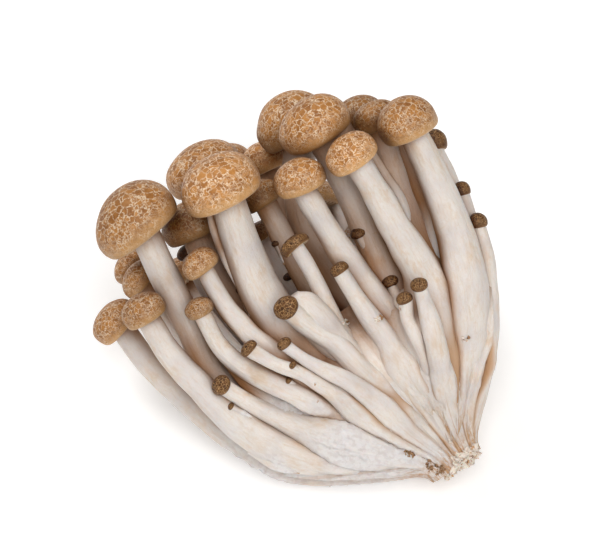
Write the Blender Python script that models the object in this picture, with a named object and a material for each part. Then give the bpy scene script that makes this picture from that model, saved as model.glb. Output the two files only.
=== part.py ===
"""A cluster of brown beech mushrooms, picked whole and lying on its side on a table.

The mushrooms fan out of one foot, where their stems have grown together and a knife has cut them
from the block. Each mushroom is a stem and a cap. They are described as they grew, in a growth frame
in millimetres: x across the fan, h up the fan and d towards its front, measured from the heel where
the stems meet. STANDING_ROOM then pushes crowded neighbours apart, front to back, and lay_down()
tips the growth frame back onto the table.
"""

import math

import bmesh
import bpy
import numpy as np
from mathutils import Matrix, Vector

MM = 0.001

# How the cluster lies: the fan's plane leans back from upright, and the underside is pressed flat.
LEAN_BACK = math.radians(53)
PRESSED_FLAT = 0.5
TOUCH = 0.3

# The foot: a lump of fused tissue, a rounded cone that opens from the cut face to the stems' roots.
FOOT_AT = (-2.5, -3.0, -2.0)
FOOT_AXIS = math.radians(125)
FOOT_TOP = 16.5
FOOT_CUT_RADIUS = 7.0
FOOT_THICKNESS = 0.9
ROOT_SPREAD = 6.5

# Clearances between separate pieces, and between neighbours while they are pushed apart.
JOINT_GAP = 0.35
STANDING_ROOM = 0.4

# Stems bulge this much into the room their neighbours leave them.
FULLNESS = 1.15

CAP_SIDES = 12
STEM_SIDES = 8
STEM_RINGS = 8
PIN_RINGS = 7

SKIN_BROWN = (0.42, 0.25, 0.12, 1.0)
STEM_CREAM = (0.80, 0.73, 0.64, 1.0)
FOOT_OCHRE = (0.66, 0.53, 0.38, 1.0)
PIN_TAN = (0.62, 0.47, 0.33, 1.0)

# One mushroom: where its stem runs (low, high, then neck; x and h each), how far in front of the
# fan's middle its neck stands, the cap's radius and height, the way the cap faces (degrees round
# the fan's plane, then degrees tipped towards the front), and the stem's radius at neck and belly.
# The caps of the hindmost ones lie on the table.
MUSHROOMS = {
    "01": dict(low=(-55, 13.5), high=(-70, 37), neck=(-78.5, 54.5), front=5, cap=(10.7, 13.4),
               faces=(129, 10), stem=(3.2, 3.0)),
    "02": dict(low=(-35, 20.5), high=(-50, 41), neck=(-58.1, 63.4), front=11, cap=(10.2, 12.0),
               faces=(117, 15), stem=(3.7, 5.2)),
    "03": dict(low=(-32, 15), high=(-55, 43), neck=(-63.3, 68.3), front=-12, cap=(9.9, 10.8),
               faces=(122, 5), stem=(3.4, 3.9)),
    "04": dict(low=(-29, 17), high=(-52, 45), neck=(-59, 71), front=-28, cap=(7.2, 8.2),
               faces=(112, -5), stem=(2.9, 3.3)),
    "05": dict(low=(-37, 15.5), high=(-59, 40), neck=(-65.8, 54.4), front=-3, cap=(7.8, 9.4),
               faces=(115, 8), stem=(3.2, 3.3)),
    "06": dict(low=(-45, 9), high=(-67.5, 28), neck=(-78.5, 42), front=-5, cap=(5.7, 6.4),
               faces=(140, 3), stem=(2.6, 3.0)),
    "07": dict(low=(-44, 0.5), high=(-68.5, 20.5), neck=(-77.5, 33.5), front=9, cap=(5.7, 6.9),
               faces=(121, 12), stem=(2.5, 4.4)),
    "08": dict(low=(-48, -1.5), high=(-76, 19.5), neck=(-85, 31), front=-9, cap=(6.5, 7.3),
               faces=(140, 12), stem=(2.6, 2.8)),
    "09": dict(low=(-40, 20), high=(-56, 33.5), neck=(-63.5, 45.5), front=13, cap=(4.7, 5.6),
               faces=(126, 12), stem=(2.0, 2.7)),
    "10": dict(low=(-40, 14.5), high=(-57, 23.5), neck=(-64, 34.7), front=12, cap=(3.6, 4.3),
               faces=(119, 15), stem=(1.9, 2.6)),
    "11": dict(low=(-22.5, 18), high=(-40, 49), neck=(-47.8, 71.3), front=-22, cap=(7.0, 8.2),
               faces=(115, 0), stem=(2.4, 2.9)),
    "12": dict(low=(-24, 19), high=(-41, 47.5), neck=(-48.5, 62), front=-4, cap=(5.3, 6.5),
               faces=(122, 4), stem=(2.5, 2.8)),
    "13": dict(low=(-17, 30.5), high=(-31, 52), neck=(-39.2, 65.5), front=11, cap=(6.4, 8.0),
               faces=(113, 15), stem=(2.6, 3.2)),
    "14": dict(low=(-18, 26), high=(-38.5, 57), neck=(-40, 79.6), front=-14, cap=(9.3, 12.2),
               faces=(121, 5), stem=(3.6, 4.0)),
    "15": dict(low=(-13, 28), high=(-25, 59), neck=(-34.7, 78.5), front=3, cap=(8.9, 11.0),
               faces=(121, 14), stem=(3.2, 3.4)),
    "16": dict(low=(-7, 37), high=(-17, 57), neck=(-26, 72), front=15, cap=(6.8, 7.8),
               faces=(124, 15), stem=(2.8, 4.0)),
    "17": dict(low=(-9, 30), high=(-19, 63), neck=(-24.2, 82.2), front=-13, cap=(6.6, 8.2),
               faces=(108, 0), stem=(2.3, 2.8)),
    "18": dict(low=(-6, 35), high=(-14, 64), neck=(-19.8, 81), front=-2, cap=(6.0, 7.4),
               faces=(110, 6), stem=(3.6, 4.4)),
    "19": dict(low=(2, 38), high=(-4, 61), neck=(-12.2, 79.3), front=10, cap=(7.6, 10.2),
               faces=(116, 14), stem=(3.2, 4.7)),
    "20": dict(low=(-33, 14), high=(-57, 31), neck=(-69, 40), front=-36, cap=(8.8, 9.4),
               faces=(142, -22), stem=(3.6, 4.2)),
    "21": dict(low=(-14, 24), high=(-30, 46), neck=(-37, 60), front=-42, cap=(9.4, 9.8),
               faces=(112, -25), stem=(3.9, 4.5)),
    "22": dict(low=(-3, 24), high=(-10, 44), neck=(-13, 56), front=-38, cap=(8.4, 9.0),
               faces=(98, -24), stem=(3.6, 4.2)),
}
ON_TABLE = ("20", "21", "22")

# Young and slender mushrooms, whose cap is still one piece with its stem.
PINS = {
    "01": dict(low=(-46, 12), high=(-69, 29), neck=(-82, 45.5), front=-14, cap=(5.0, 5.6),
               faces=(142, 0), stem=(2.2, 2.6)),
    "02": dict(low=(4.5, 38), high=(-1, 64), neck=(-6, 75.9), front=-6, cap=(3.4, 5.6),
               faces=(100, -5), stem=(1.9, 2.6)),
    "03": dict(low=(-27.5, 26.5), high=(-35.5, 42), neck=(-40.7, 51), front=14, cap=(3.8, 3.4),
               faces=(130, -6), stem=(1.6, 2.0)),
    "04": dict(low=(-28, 24), high=(-37, 31), neck=(-43, 36), front=18, cap=(3.2, 3.0),
               faces=(140, 45), stem=(2.2, 2.8)),
    "05": dict(low=(-38, 6), high=(-52, 12.5), neck=(-59, 17), front=12, cap=(2.7, 2.6),
               faces=(150, 40), stem=(1.8, 3.4)),
    "06": dict(low=(-16, 24), high=(-25, 37), neck=(-30, 45), front=15, cap=(2.5, 2.6),
               faces=(125, 5), stem=(1.7, 3.0)),
    "07": dict(low=(-10, 25), high=(-13.5, 33), neck=(-14.2, 38), front=17, cap=(2.2, 2.4),
               faces=(115, 20), stem=(1.5, 1.8)),
    "08": dict(low=(-6, 24), high=(-9, 36), neck=(-10.8, 41.5), front=19, cap=(2.2, 2.2),
               faces=(115, 40), stem=(1.5, 3.2)),
    "09": dict(low=(-25, 16), high=(-36, 22), neck=(-43.5, 27), front=18, cap=(1.9, 2.2),
               faces=(130, 15), stem=(1.3, 2.2)),
    "10": dict(low=(-36, 18), high=(-46, 22.5), neck=(-52, 26), front=17, cap=(2.4, 2.4),
               faces=(140, 10), stem=(1.6, 2.0)),
    "11": dict(low=(6.3, 20), high=(6.8, 46), neck=(4.4, 56.4), front=3, cap=(2.3, 3.6),
               faces=(100, 8), stem=(1.6, 2.8)),
    "12": dict(low=(4, 34), high=(3.5, 54), neck=(0.6, 64.4), front=2, cap=(2.2, 3.5),
               faces=(104, 4), stem=(1.5, 2.1)),
    "13": dict(low=(-40, 16), high=(-61.5, 38), neck=(-68.5, 49.5), front=-8, cap=(2.5, 2.7),
               faces=(135, 0), stem=(1.7, 2.8)),
    "14": dict(low=(4, 24), high=(3, 42), neck=(0, 53), front=-22, cap=(4.6, 5.2),
               faces=(92, -15), stem=(2.4, 3.0)),
    "15": dict(low=(-25, 20), high=(-42, 42), neck=(-49, 53), front=-29, cap=(5.4, 6.0),
               faces=(124, -14), stem=(2.6, 3.2)),
}

PATH_STEPS = 60
BEADS = 26


def growth_direction(angle, forward):
    """A unit vector at an angle round the fan's plane, tipped towards the front, both in degrees."""
    a, t = math.radians(angle), math.radians(forward)
    return np.array([math.cos(a) * math.cos(t), math.sin(a) * math.cos(t), math.sin(t)])


def table_height(points):
    """How high points of the growth frame stand once the cluster is tipped back, in millimetres."""
    points = np.asarray(points)
    return points[..., 1] * math.cos(LEAN_BACK) + points[..., 2] * math.sin(LEAN_BACK)


def spline(points, steps):
    """A Catmull-Rom curve through points[1:-1], evenly spaced along its length."""
    points = np.array(points, float)
    dense = []
    for p0, p1, p2, p3 in zip(points, points[1:], points[2:], points[3:]):
        for t in np.linspace(0, 1, 24, endpoint=False):
            dense.append(0.5 * (2 * p1 + (p2 - p0) * t + (2 * p0 - 5 * p1 + 4 * p2 - p3) * t**2
                                + (3 * p1 - p0 - 3 * p2 + p3) * t**3))
    return respaced(np.array(dense + [points[-2]]), steps)


def respaced(line, steps):
    """The same line as an even number of steps along its length."""
    along = np.concatenate([[0], np.cumsum(np.linalg.norm(np.diff(line, axis=0), axis=1))])
    even = np.linspace(0, along[-1], steps)
    return np.stack([np.interp(even, along, line[:, k]) for k in range(3)], axis=1)


def from_foot(points):
    """How far points are from the foot's centre, in spheres flattened front to back as the foot is."""
    away = (np.asarray(points) - FOOT_AT) / [1, 1, FOOT_THICKNESS]
    return np.linalg.norm(away, axis=-1)


def stem_path(shroom):
    """The stem's centreline from its root in the foot to its neck."""
    low, high, neck = (np.array(shroom[k], float) for k in ("low", "high", "neck"))
    axis = np.array([math.cos(FOOT_AXIS), math.sin(FOOT_AXIS)])
    across = np.array([axis[1], -axis[0]])
    heel = np.array(FOOT_AT[:2])
    lean = (low - heel) / np.linalg.norm(low - heel)
    root = heel + across * ROOT_SPREAD * (lean @ across)
    length = np.linalg.norm(neck - root)

    def lifted(p):
        return np.array([*p, shroom["front"] * np.linalg.norm(p - root) / length])

    start, neck_at = lifted(root), lifted(neck)
    before = start - (lifted(low) - start) * 0.3
    beyond = neck_at + growth_direction(*shroom["faces"]) * 0.35 * np.linalg.norm(neck - high)
    return spline([before, start, lifted(low), lifted(high), neck_at, beyond], PATH_STEPS)


def stem_radii(shroom, share):
    """The stem's radius at each share of its length: narrow root, full belly, slimmer neck."""
    neck, belly = shroom["stem"]
    swell = np.clip(share / 0.5, 0, 1)
    slim = np.clip((share - 0.5) / 0.5, 0, 1)
    slim = slim * slim * (3 - 2 * slim)
    return belly * (0.2 + 0.8 * swell) * (1 - slim) + neck * slim


class Crowd:
    """Every mushroom as a string of beads, its cap the last one, so that neighbours can make room."""

    def __init__(self, shrooms):
        self.shrooms = shrooms
        self.path, self.radius = [], []
        for shroom in shrooms:
            path = stem_path(shroom)
            path = path[from_foot(path) > FOOT_TOP + JOINT_GAP]
            share = np.linspace(1 - len(path) / PATH_STEPS, 1, BEADS)
            beads = respaced(path, BEADS)
            cap_radius, cap_height = shroom["cap"]
            centre = beads[-1] + growth_direction(*shroom["faces"]) * 0.42 * cap_height
            self.path.append(np.vstack([beads, centre]))
            self.radius.append(np.append(stem_radii(shroom, share), cap_radius * 1.02))
        self.path, self.radius = np.array(self.path), np.array(self.radius)

    def neighbours(self):
        """Each bead against each other mushroom's beads: distance across the fan, depth and reach."""
        count, beads = self.radius.shape
        at, reach = self.path.reshape(-1, 3), self.radius.reshape(-1)
        whose = np.repeat(np.arange(count), beads)
        apart = np.linalg.norm(at[:, None, :2] - at[None, :, :2], axis=2)
        reach = reach[:, None] + reach[None, :] + STANDING_ROOM
        reach[whose[:, None] == whose[None, :]] = 0
        return apart, at[:, None, 2] - at[None, :, 2], reach

    def make_room(self, rounds=220):
        """Slides the mushrooms front to back, each as a smooth bend, until few of them touch."""
        shape = self.radius.shape
        apart, first_depth, reach = self.neighbours()
        tie = np.sign(np.subtract.outer(np.arange(apart.shape[0]), np.arange(apart.shape[0])))
        order = np.where(np.abs(first_depth) > 0.3, np.sign(first_depth), tie)
        needed = np.sqrt(np.clip(reach**2 - apart**2, 0, None))
        ramp = np.linspace(0.25, 1.0, shape[1])
        knots = np.arange(shape[1])
        kernel = np.exp(-((knots[:, None] - knots[None, :]) / 4.0) ** 2)
        kernel /= kernel.sum(1, keepdims=True)
        for _ in range(rounds):
            depth = self.path[:, :, 2].reshape(-1)
            short = np.clip(needed - order * (depth[:, None] - depth[None, :]), 0, None)
            push = short * order * (needed > 0)
            push = 0.5 * (push.max(1) + push.min(1))
            push = push.reshape(shape) * ramp
            # the cap and the neck under it move as one
            push[:, -2] = push[:, -1] = np.where(np.abs(push[:, -1]) > np.abs(push[:, -2]),
                                                 push[:, -1], push[:, -2])
            self.path[:, :, 2] += 0.45 * (push @ kernel.T)

    def lie_on_table(self, hindmost):
        """Bends the hindmost mushrooms so that their caps come down to where the stems rest."""
        stems = table_height(self.path[:, :-1]) - self.radius[:, :-1]
        table = stems.min()
        bend = np.linspace(0, 1, BEADS) ** 1.5
        for k in hindmost:
            shroom = self.shrooms[k]
            facing = growth_direction(*shroom["faces"])
            socket = self.path[k, -2] - facing * 0.1 * shroom["cap"][0]
            edge = np.vstack(cap_rings(socket, facing, shroom["cap"], self.radius[k, -2], CAP_SIDES))
            drop = (table + TOUCH - table_height(edge).min()) / math.sin(LEAN_BACK)
            self.path[k, :-1, 2] += bend * drop
            self.path[k, -1, 2] += drop

    def fill_out(self, rounds=60):
        """Swells the stems, then narrows each where it is pressed, so that no two of them touch."""
        self.radius[:, :-1] *= FULLNESS
        count, beads = self.radius.shape
        at = self.path.reshape(-1, 3)
        whose = np.repeat(np.arange(count), beads)
        gap = np.linalg.norm(at[:, None] - at[None, :], axis=2) - JOINT_GAP
        gap[whose[:, None] == whose[None, :]] = 1e9
        is_cap = np.zeros(self.radius.shape, bool)
        is_cap[:, -1] = True
        is_cap = is_cap.reshape(-1)
        for _ in range(rounds):
            reach = self.radius.reshape(-1)
            both = reach[:, None] + reach[None, :]
            fit = np.clip(gap / both, 0.1, 1.0)
            fit[is_cap] = np.where(is_cap[None, :], fit[is_cap], 1.0)
            self.radius = (reach * fit.min(1) ** 0.7).reshape(count, beads)


def lay_down():
    """The matrix that tips the growth frame back onto the table, in metres."""
    up = Vector((0, math.sin(LEAN_BACK), math.cos(LEAN_BACK)))
    front = Vector((0, -math.cos(LEAN_BACK), math.sin(LEAN_BACK)))
    return Matrix((Vector((1, 0, 0)), up, front)).transposed().to_4x4() @ Matrix.Scale(MM, 4)


def material(name, colour, roughness):
    made = bpy.data.materials.new(name)
    made.use_nodes = True
    shader = made.node_tree.nodes["Principled BSDF"]
    shader.inputs["Base Color"].default_value = colour
    shader.inputs["Roughness"].default_value = roughness
    shader.inputs["Metallic"].default_value = 0.0
    made.diffuse_color = colour
    return made


def skinned(rings, name, finish):
    """One closed, smooth-shaded object over rings of points, with an end face on each end ring."""
    bm = bmesh.new()
    loops = [[bm.verts.new(p) for p in ring] for ring in rings]
    for lower, upper in zip(loops, loops[1:]):
        for k in range(len(lower)):
            n = (k + 1) % len(lower)
            bm.faces.new((lower[k], lower[n], upper[n], upper[k]))
    bm.faces.new(loops[0])
    bm.faces.new(loops[-1])
    bmesh.ops.triangulate(bm, faces=bm.faces)
    bmesh.ops.recalc_face_normals(bm, faces=bm.faces)
    mesh = bpy.data.meshes.new(name)
    bm.to_mesh(mesh)
    bm.free()
    mesh.transform(lay_down())
    mesh.materials.append(finish)
    mesh.shade_smooth()
    mesh.set_sharp_from_angle(angle=math.radians(60))
    made = bpy.data.objects.new(name, mesh)
    bpy.context.scene.collection.objects.link(made)
    return made


def frame_along(direction, hint):
    """Two unit vectors square to a direction, the first as near the hint as it can be."""
    side = hint - direction * (hint @ direction)
    side = side / np.linalg.norm(side)
    return side, np.cross(direction, side)


def ring_at(centre, side, over, radius, sides):
    turn = np.arange(sides) * 2 * math.pi / sides
    return np.array([centre + radius * (math.cos(a) * side + math.sin(a) * over) for a in turn])


def clear_of_foot(path, radii):
    """Where along a stem's centreline a ring as wide as the stem first stands clear of the foot."""
    for k in range(len(path) - 2):
        way = path[k + 1] - path[k]
        side, over = frame_along(way / np.linalg.norm(way), np.array([0.0, 0.0, 1.0]))
        if from_foot(ring_at(path[k], side, over, radii[k], STEM_SIDES)).min() > FOOT_TOP + JOINT_GAP:
            return k
    return 0


def stem_rings(path, radii, facing, count):
    """Rings round a stem's centreline, the last of them square to the cap."""
    fine = np.linspace(0, len(path) - 1, PATH_STEPS * 2)
    radii = np.interp(fine, range(len(path)), radii)
    path = np.stack([np.interp(fine, range(len(path)), path[:, k]) for k in range(3)], axis=1)
    start = clear_of_foot(path, radii)
    at = np.linspace(start, len(path) - 1, count)
    spots = np.stack([np.interp(at, range(len(path)), path[:, k]) for k in range(3)], axis=1)
    wide = np.interp(at, range(len(path)), radii)
    heading = np.gradient(spots, axis=0)
    heading[-1] = facing
    hint = np.array([0.0, 0.0, 1.0])
    rings = []
    for spot, way, radius in zip(spots, heading, wide):
        hint, over = frame_along(way / np.linalg.norm(way), hint)
        rings.append(ring_at(spot, hint, over, radius, STEM_SIDES))
    return rings, hint


def cap_profile(size, neck):
    """(radius, height over the rim) from the socket round the inrolled edge and up to the crown."""
    radius, height = size
    dome = [(radius * math.cos(a), height * (0.22 + 0.78 * math.sin(a)))
            for a in np.radians([14, 42, 67])]
    return [(min(neck + 0.4, 0.7 * radius), 0.10 * radius), (0.84 * radius, 0.0),
            (0.985 * radius, 0.13 * height)] + dome + [(0.06 * radius, height)]


def cap_rings(socket, facing, size, neck, sides, hint=(0.0, 0.0, 1.0)):
    """Rings of a dome whose edge rolls under, facing away from its stem."""
    side, over = frame_along(facing, np.array(hint))
    return [ring_at(socket + facing * z, side, over, r, sides) for r, z in cap_profile(size, neck)]


def foot_rings():
    """A rounded cone from the cut face up to the spread of the stems' roots."""
    axis = growth_direction(math.degrees(FOOT_AXIS), 0)
    side, over = frame_along(axis, np.array([1.0, 0.0, 0.0]))
    profile = [(FOOT_CUT_RADIUS * 0.93, -1.2), (FOOT_CUT_RADIUS, 0.2), (FOOT_CUT_RADIUS * 1.3, 3.0)]
    profile += [(FOOT_TOP * math.sin(a), FOOT_TOP * math.cos(a))
                for a in np.radians(np.linspace(60, 8, 6))]
    return [(ring_at(np.zeros(3), side, over, radius, 16) + axis * z) * [1, 1, FOOT_THICKNESS]
            + FOOT_AT for radius, z in profile]


def rest_on_table(objects):
    """Sets the cluster down, presses what lies lowest flat, and centres it over the origin."""
    low = min(v.co.z for o in objects for v in o.data.vertices) + PRESSED_FLAT * MM
    for o in objects:
        for v in o.data.vertices:
            v.co.z = max(v.co.z - low, 0.0)
    xs = [v.co.x for o in objects for v in o.data.vertices]
    ys = [v.co.y for o in objects for v in o.data.vertices]
    centre = Vector(((min(xs) + max(xs)) / 2, (min(ys) + max(ys)) / 2, 0))
    for o in objects:
        o.data.transform(Matrix.Translation(-centre))


def main():
    for old in list(bpy.data.objects):
        bpy.data.objects.remove(old)
    skin = material("cap_skin", SKIN_BROWN, 0.55)
    flesh = material("stem_flesh", STEM_CREAM, 0.6)
    cut = material("foot_tissue", FOOT_OCHRE, 0.75)
    young = material("pin_flesh", PIN_TAN, 0.6)

    crowd = Crowd(list(MUSHROOMS.values()) + list(PINS.values()))
    crowd.make_room()
    crowd.lie_on_table([list(MUSHROOMS).index(name) for name in ON_TABLE])
    crowd.fill_out()

    made = [skinned(foot_rings(), "foot", cut)]
    names = [("", name) for name in MUSHROOMS] + [("pin", name) for name in PINS]
    for (kind, name), shroom, beads, radii in zip(names, crowd.shrooms, crowd.path, crowd.radius):
        path, neck_at, neck = beads[:-1], beads[-2], radii[-2]
        facing = growth_direction(*shroom["faces"])
        socket = neck_at - facing * 0.10 * shroom["cap"][0]
        if kind == "pin":
            stem, hint = stem_rings(path, radii[:-1], facing, PIN_RINGS)
            cap = cap_rings(socket, facing, shroom["cap"], neck, STEM_SIDES, hint)
            made.append(skinned(stem + cap[1:], f"pin_{name}", young))
            continue
        stem, hint = stem_rings(path, radii[:-1], facing, STEM_RINGS)
        cap = cap_rings(socket + facing * JOINT_GAP, facing, shroom["cap"], neck, CAP_SIDES)
        made.append(skinned(stem, f"stem_{name}", flesh))
        made.append(skinned(cap, f"cap_{name}", skin))
    rest_on_table(made)


main()
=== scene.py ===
"""The looks of the beech mushroom cluster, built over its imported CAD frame.

Every stem, cap and pin is rebuilt from its own CAD node: the node's rings of corners give the line
it follows and its thickness. The stems swell until they press on each other, run on into the foot
and carry fibres and folds; the caps get rolled edges, gills and a cracked brown skin. The web of
flesh between the stem bases, the buds and the thin stems behind have no CAD node.
"""

import math

import bpy
import numpy as np
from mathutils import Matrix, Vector
from mathutils.bvhtree import BVHTree


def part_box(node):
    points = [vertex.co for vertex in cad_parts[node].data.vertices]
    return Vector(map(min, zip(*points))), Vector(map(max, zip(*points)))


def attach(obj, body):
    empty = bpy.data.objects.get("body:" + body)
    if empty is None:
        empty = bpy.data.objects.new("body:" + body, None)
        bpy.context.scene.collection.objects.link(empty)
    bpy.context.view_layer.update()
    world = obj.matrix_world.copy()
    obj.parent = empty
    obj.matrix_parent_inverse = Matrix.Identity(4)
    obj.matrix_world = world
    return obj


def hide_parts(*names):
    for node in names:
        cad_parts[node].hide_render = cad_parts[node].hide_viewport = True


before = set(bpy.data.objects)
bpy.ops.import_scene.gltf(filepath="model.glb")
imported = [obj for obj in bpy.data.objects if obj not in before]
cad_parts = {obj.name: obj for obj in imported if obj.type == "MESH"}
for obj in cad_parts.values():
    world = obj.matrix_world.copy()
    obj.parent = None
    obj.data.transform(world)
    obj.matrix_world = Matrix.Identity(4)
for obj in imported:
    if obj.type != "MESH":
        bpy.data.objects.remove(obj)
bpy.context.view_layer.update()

MM = 0.001

# The cluster's own frame, in millimetres: x across the fan, h up the fan, d towards its front,
# from the heel where the stems meet. It leans back on the table by this angle.
LEAN_BACK = math.radians(53)
HEEL_FROM_FOOT_CORNER = (-4.473, -14.686, -12.041)
FOOT_AXIS = math.radians(125)

# How the CAD solids are cut: corners round a stem and a cap, and rings up a pin's stem.
STEM_CORNERS = 8
CAP_CORNERS = 12
PIN_STEM_RINGS = 7

ACROSS = np.array([1.0, 0.0, 0.0])
UP_FAN = np.array([0.0, math.sin(LEAN_BACK), math.cos(LEAN_BACK)])
FRONT = np.array([0.0, -math.cos(LEAN_BACK), math.sin(LEAN_BACK)])
FAN = np.stack([ACROSS, UP_FAN, FRONT])

HEEL = np.array(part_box("foot")[1]) / MM + HEEL_FROM_FOOT_CORNER


def in_row(points):
    """Points of the fan's frame in the row frame, both in millimetres."""
    return HEEL + np.asarray(points, float) @ FAN


def in_fan(points):
    """Points of the row frame in the fan's frame, both in millimetres."""
    return (np.asarray(points, float) - HEEL) @ FAN.T


# ---------- reading the CAD nodes


def corner_rings(node, corners):
    """The node's rings of corners, in millimetres, from the end nearest the heel."""
    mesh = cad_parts[node].data
    spots = np.empty(len(mesh.vertices) * 3)
    mesh.vertices.foreach_get("co", spots)
    spots, same = np.unique((spots.reshape(-1, 3) / MM).round(3), axis=0, return_inverse=True)
    same = same.reshape(-1)
    faces = [[same[k] for k in face.vertices] for face in mesh.polygons]
    joined = [set() for _ in spots]
    ends = []
    for face in faces:
        for k in face:
            joined[k].update(face)
        normal = np.cross(spots[face[1]] - spots[face[0]], spots[face[2]] - spots[face[0]])
        size = np.linalg.norm(normal)
        if size < 1e-6:
            continue
        level = np.flatnonzero(np.abs((spots - spots[face[0]]) @ normal) / size < 0.02)
        if len(level) >= corners:
            ends.append(level)
    nearest = min(ends, key=lambda end: np.linalg.norm(spots[end].mean(0) - HEEL))
    rings, seen = [nearest], set(nearest)
    while len(seen) < len(spots):
        reach = set().union(*(joined[k] for k in rings[-1])) - seen
        if not reach:
            break
        rings.append(np.array(sorted(reach)))
        seen |= reach
    return [spots[ring] for ring in rings]


def middle_and_radius(ring):
    """A ring's middle, and how far its corners stand from it on average."""
    middle = ring.mean(0)
    return middle, np.linalg.norm(ring - middle, axis=1).mean()


# ---------- small maths helpers


def unit(v):
    """The vectors, each with a length of 1."""
    v = np.asarray(v, float)
    return v / np.linalg.norm(v, axis=-1, keepdims=True)


def resample(line, values, count):
    """A smooth line through the points, evenly spaced, with the values that go with it."""
    line, values = np.asarray(line, float), np.asarray(values, float)
    padded = np.vstack([2 * line[0] - line[1], line, 2 * line[-1] - line[-2]])
    wide = np.concatenate([[values[0]], values, [values[-1]]])
    dense, dense_wide = [], []
    for k in range(len(line) - 1):
        p, w = padded[k:k + 4], wide[k:k + 4]
        for t in np.linspace(0, 1, 16, endpoint=False):
            basis = 0.5 * np.array([-t + 2 * t**2 - t**3, 2 - 5 * t**2 + 3 * t**3,
                                    t + 4 * t**2 - 3 * t**3, -t**2 + t**3])
            dense.append(basis @ p)
            dense_wide.append(basis @ w)
    dense = np.array(dense + [line[-1]])
    dense_wide = np.array(dense_wide + [values[-1]])
    along = np.concatenate([[0], np.cumsum(np.linalg.norm(np.diff(dense, axis=0), axis=1))])
    even = np.linspace(0, along[-1], count)
    spots = np.stack([np.interp(even, along, dense[:, k]) for k in range(3)], axis=1)
    return spots, np.interp(even, along, dense_wide), along[-1]


def full_turn(count):
    return np.arange(count) * 2 * math.pi / count


def spokes(line, facing, angle):
    """Directions square to a line at these angles round it, turning as little as they can."""
    ways = unit(np.gradient(line, axis=0))
    ways[-1] = facing
    sides = []
    side = FRONT
    for way in ways:
        side = unit(side - way * (side @ way))
        sides.append(side)
    sides = np.array(sides)
    overs = np.cross(ways, sides)
    return (sides[:, None] * np.cos(angle)[None, :, None]
            + overs[:, None] * np.sin(angle)[None, :, None])


class Waves:
    """A smooth random field: a sum of waves in random directions, the same on every run."""

    def __init__(self, seed, size, count=14):
        rng = np.random.default_rng(seed)
        self.ways = unit(rng.normal(size=(count, 3))) * (2 * math.pi / size)
        self.ways *= rng.uniform(0.6, 1.5, (count, 1))
        self.phases = rng.uniform(0, 2 * math.pi, count)

    def __call__(self, points):
        return np.sin(np.asarray(points) @ self.ways.T + self.phases).sum(-1) / math.sqrt(
            len(self.phases) / 2)


def smooth_step(low, high, value):
    """0 up to low, 1 from high on; it falls where low is above high."""
    t = np.clip((value - low) / (high - low), 0, 1)
    return t * t * (3 - 2 * t)


# ---------- meshes


def placed(name, data):
    """A new object in the scene."""
    made = bpy.data.objects.new(name, data)
    bpy.context.scene.collection.objects.link(made)
    return made


def grid_mesh(name, rows, finishes, values=None, finish_rows=None, close_ends=True):
    """A closed tube over rows of points, in millimetres, with named values at each point."""
    rows = np.asarray(rows, float)
    count, around, _ = rows.shape
    points = rows.reshape(-1, 3).copy()
    points[:, 2] = np.maximum(points[:, 2], 0.0)
    index = np.arange(count * around).reshape(count, around)
    a, b = index[:-1], index[1:]
    quads = np.stack([a, np.roll(a, -1, 1), np.roll(b, -1, 1), b], axis=-1).reshape(-1, 4)
    faces = quads.tolist()
    if close_ends:
        points = np.vstack([points, rows[0].mean(0), rows[-1].mean(0)])
        points[:, 2] = np.maximum(points[:, 2], 0.0)
        first, last = count * around, count * around + 1
        for k in range(around):
            n = (k + 1) % around
            faces.append([first, index[0, n], index[0, k]])
            faces.append([last, index[-1, k], index[-1, n]])
    mesh = bpy.data.meshes.new(name)
    mesh.from_pydata((points * MM).tolist(), [], faces)
    for finish in finishes:
        mesh.materials.append(finish)
    if finish_rows is not None:
        which = np.repeat(finish_rows[:-1], around)
        which = np.concatenate([which, np.zeros(len(faces) - len(which), int)])
        if close_ends:
            which[len(quads)::2] = finish_rows[0]
            which[len(quads) + 1::2] = finish_rows[-1]
        mesh.polygons.foreach_set("material_index", which.astype(np.int32))
    mesh.shade_smooth()
    for key, value in (values or {}).items():
        value = np.asarray(value, float)
        vector = value.ndim == 3
        flat = value.reshape(-1, 3) if vector else value.reshape(-1)
        if close_ends:
            flat = np.concatenate([flat, [value[0].mean(0), value[-1].mean(0)]])
        kind, field = ("FLOAT_VECTOR", "vector") if vector else ("FLOAT", "value")
        mesh.attributes.new(key, kind, "POINT").data.foreach_set(field, flat.reshape(-1))
    return placed(name, mesh)


def joined(name, parts):
    """One object out of several."""
    with bpy.context.temp_override(active_object=parts[0], object=parts[0],
                                   selected_editable_objects=parts, selected_objects=parts):
        bpy.ops.object.join()
    parts[0].name = name
    parts[0].data.name = name
    return parts[0]


def settle(piece, slot, *nodes):
    """Hangs a finished piece on the root body and hides the CAD nodes it replaces. The slot is not
    used.
    """
    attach(piece, "root")
    if nodes:
        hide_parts(*nodes)


# ---------- materials


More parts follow.
